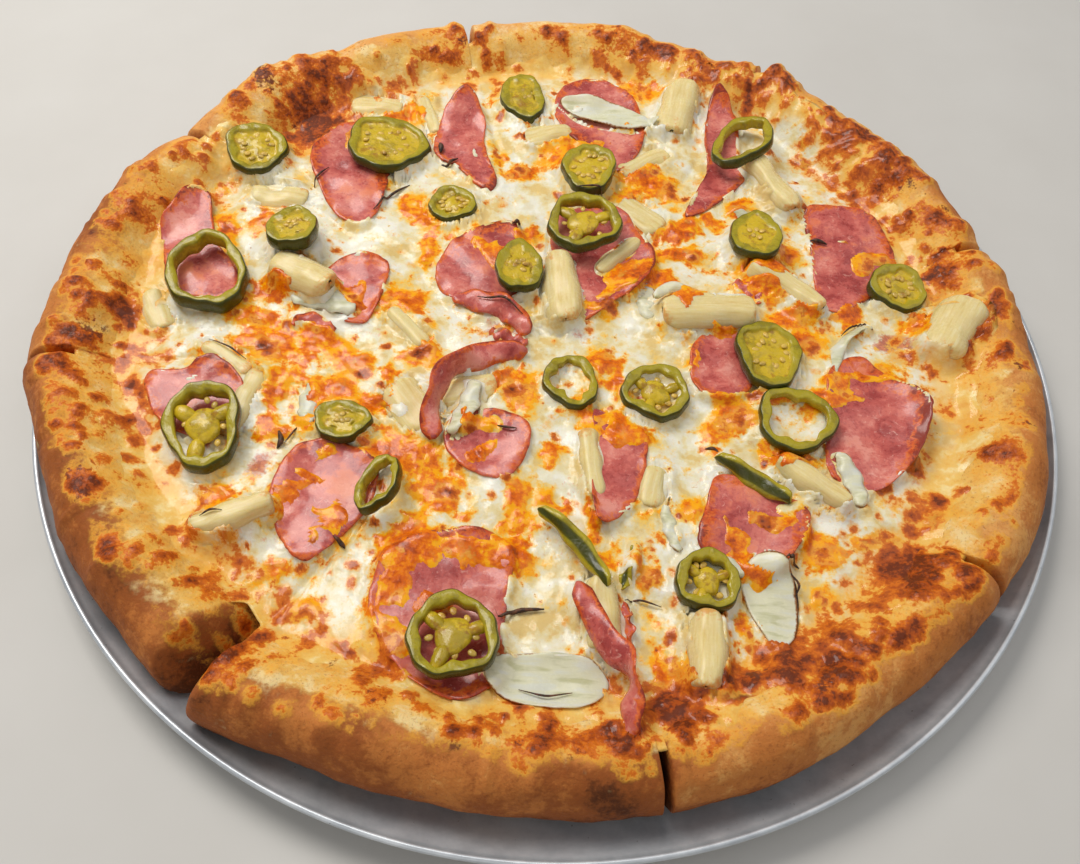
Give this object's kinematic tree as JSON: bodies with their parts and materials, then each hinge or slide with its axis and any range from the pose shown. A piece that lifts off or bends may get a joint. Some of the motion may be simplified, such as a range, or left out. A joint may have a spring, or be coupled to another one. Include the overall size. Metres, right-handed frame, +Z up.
{
  "type": "thick crust pizza on a pan",
  "caption": "Round pizza with a thick raised crust, melted cheese, ham, jalapeno, pineapple and onion, cut in wedges and resting on its shallow round metal pan",
  "frame": {"origin": "middle of the pan's flat underside, on the table", "axes": "+Z up out of the pizza, +Y away from the viewer of the reference view, +X to the viewer's right"},
  "size_m": [0.382, 0.3819, 0.032],
  "materials": {
    "pan": "satin",
    "crust": "matte",
    "cheese": "satin",
    "ham": "satin",
    "jalapeno": "gloss",
    "pineapple": "gloss",
    "onion": "gloss"
  },
  "bodies": {
    "root": {"cheese": "cheese", "crust": "crust", "ham_01": "ham", "ham_02": "ham", "ham_03": "ham", "ham_04": "ham", "ham_05": "ham", "ham_06": "ham", "ham_07": "ham", "ham_08": "ham", "ham_09": "ham", "ham_10": "ham", "ham_11": "ham", "ham_12": "ham", "ham_13": "ham", "ham_14": "ham", "ham_15": "ham", "ham_16": "ham", "ham_17": "ham", "ham_18": "ham", "ham_19": "ham", "ham_20": "ham", "jalapeno_01": "jalapeno", "jalapeno_02": "jalapeno", "jalapeno_03": "jalapeno", "jalapeno_04": "jalapeno", "jalapeno_05": "jalapeno", "jalapeno_06": "jalapeno", "jalapeno_07": "jalapeno", "jalapeno_08": "jalapeno", "jalapeno_09": "jalapeno", "jalapeno_10": "jalapeno", "jalapeno_11": "jalapeno", "jalapeno_12": "jalapeno", "jalapeno_13": "jalapeno", "jalapeno_14": "jalapeno", "jalapeno_15": "jalapeno", "jalapeno_16": "jalapeno", "jalapeno_17": "jalapeno", "jalapeno_18": "jalapeno", "jalapeno_19": "jalapeno", "jalapeno_20": "jalapeno", "jalapeno_21": "jalapeno", "jalapeno_22": "jalapeno", "jalapeno_23": "jalapeno", "onion_01": "onion", "onion_02": "onion", "onion_03": "onion", "pan": "pan", "pineapple_01": "pineapple", "pineapple_02": "pineapple", "pineapple_03": "pineapple", "pineapple_04": "pineapple", "pineapple_05": "pineapple", "pineapple_06": "pineapple", "pineapple_07": "pineapple", "pineapple_08": "pineapple", "pineapple_09": "pineapple", "pineapple_10": "pineapple", "pineapple_11": "pineapple"}
  },
  "joints": []
}
